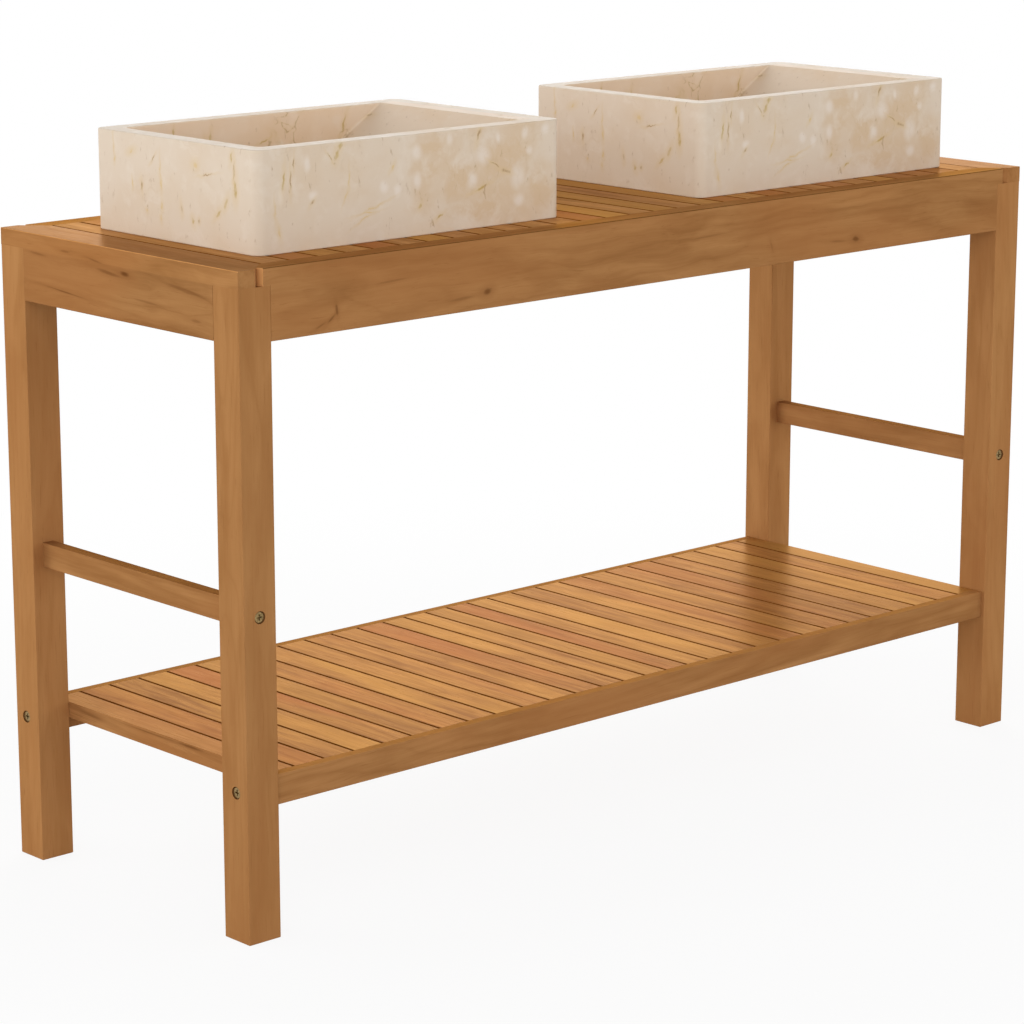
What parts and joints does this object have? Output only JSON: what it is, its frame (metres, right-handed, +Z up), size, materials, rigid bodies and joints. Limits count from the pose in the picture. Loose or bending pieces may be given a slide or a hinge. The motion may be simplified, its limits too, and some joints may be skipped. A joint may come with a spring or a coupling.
{
  "type": "double vanity unit",
  "caption": "Wooden bathroom stand with a slatted top, an open slatted shelf and side rungs, carrying rectangular stone vessel sinks side by side.",
  "frame": {"origin": "on the floor, at the middle of the stand's plan", "axes": "+X along the width to the right as seen from the front, +Y from front to back, +Z up"},
  "size_m": [1.32, 0.45, 0.888],
  "materials": {
    "frame_wood": "satin varnish",
    "slat_wood": "satin varnish",
    "stone": "polished",
    "screw_plating": "dull",
    "steel": "zinc plated"
  },
  "bodies": {
    "stand": {"leg_front_left": "frame_wood", "leg_front_right": "frame_wood", "leg_back_left": "frame_wood", "leg_back_right": "frame_wood", "apron_front": "frame_wood", "apron_back": "frame_wood", "apron_left": "frame_wood", "apron_right": "frame_wood", "top_bearer_front": "frame_wood", "top_bearer_back": "frame_wood", "top_end_left": "frame_wood", "top_end_right": "frame_wood", "top_rail_front": "frame_wood", "top_rail_back": "frame_wood", "rung_left": "frame_wood", "rung_right": "frame_wood", "shelf_rail_front": "frame_wood", "shelf_rail_back": "frame_wood", "corner_blocks": "frame_wood", "top_slats": "slat_wood", "shelf_slat_01": "slat_wood", "shelf_slat_02": "slat_wood", "shelf_slat_03": "slat_wood", "shelf_slat_04": "slat_wood", "shelf_slat_05": "slat_wood", "shelf_slat_06": "slat_wood", "shelf_slat_07": "slat_wood", "shelf_slat_08": "slat_wood", "shelf_slat_09": "slat_wood", "shelf_slat_10": "slat_wood", "shelf_slat_11": "slat_wood", "shelf_slat_12": "slat_wood", "shelf_slat_13": "slat_wood", "shelf_slat_14": "slat_wood", "shelf_slat_15": "slat_wood", "shelf_slat_16": "slat_wood", "shelf_slat_17": "slat_wood", "shelf_slat_18": "slat_wood", "shelf_slat_19": "slat_wood", "shelf_slat_20": "slat_wood", "shelf_slat_21": "slat_wood", "shelf_slat_22": "slat_wood", "shelf_slat_23": "slat_wood", "shelf_slat_24": "slat_wood", "shelf_slat_25": "slat_wood", "shelf_slat_26": "slat_wood", "shelf_slat_27": "slat_wood", "shelf_slat_28": "slat_wood", "shelf_slat_29": "slat_wood", "rung_screws": "screw_plating", "shelf_screws": "screw_plating", "leg_bolts": "steel", "leg_washers": "steel", "leg_nuts": "steel", "top_screws": "steel"},
    "sink_left": {"sink_left": "stone"},
    "sink_right": {"sink_right": "stone"}
  },
  "joints": [
    {"name": "sink_left_lift", "type": "slide", "parent": "stand", "child": "sink_left", "axis": [0, 0, 1], "range_m": [0, 0.06]},
    {"name": "sink_right_lift", "type": "slide", "parent": "stand", "child": "sink_right", "axis": [0, 0, 1], "range_m": [0, 0.06]}
  ]
}
